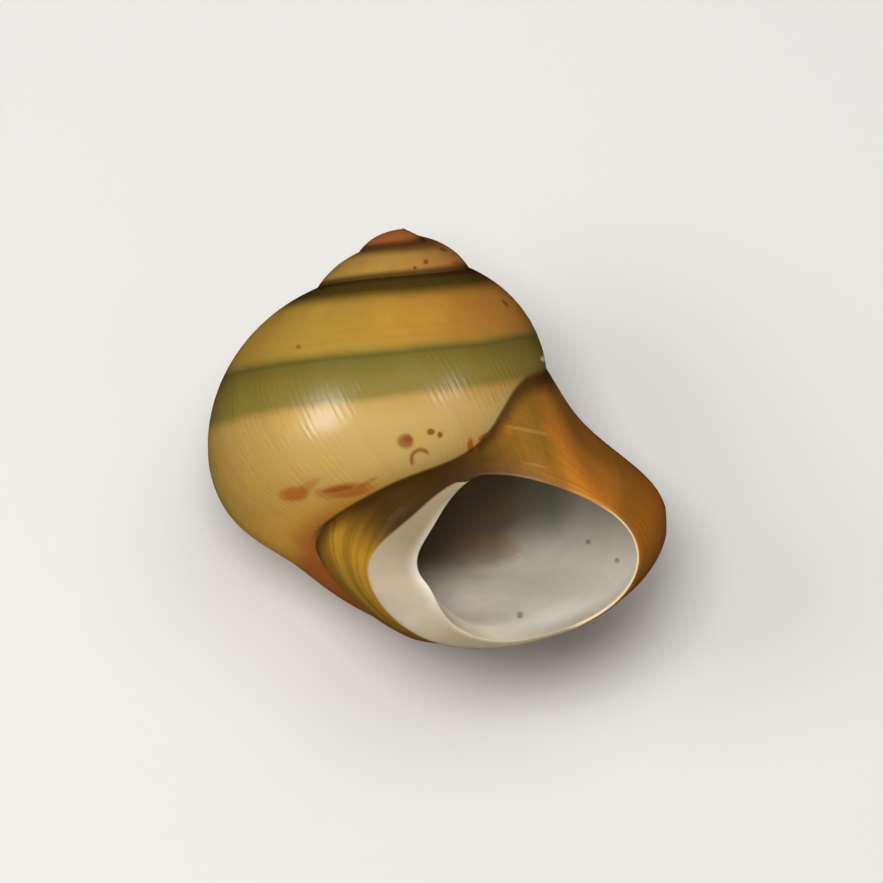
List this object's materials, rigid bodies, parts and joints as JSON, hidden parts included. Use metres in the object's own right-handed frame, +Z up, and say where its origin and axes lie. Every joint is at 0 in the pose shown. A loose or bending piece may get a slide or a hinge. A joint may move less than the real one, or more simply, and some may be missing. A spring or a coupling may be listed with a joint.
{
  "type": "freshwater snail shell",
  "caption": "Globose right-handed freshwater snail shell with a low spire, a wide oval mouth and a broad white columella shelf, lying on its back with the mouth up",
  "frame": {"origin": "middle of the small worn flat on the back of the last whorl, under the centre of mass, on the surface that the shell lies on", "axes": "+Z up, +Y towards the spire's tip, +X towards the outer lip"},
  "size_m": [0.0201, 0.0187, 0.0175],
  "materials": {
    "shell": "glossy"
  },
  "bodies": {
    "root": {"shell": "shell"}
  },
  "joints": []
}
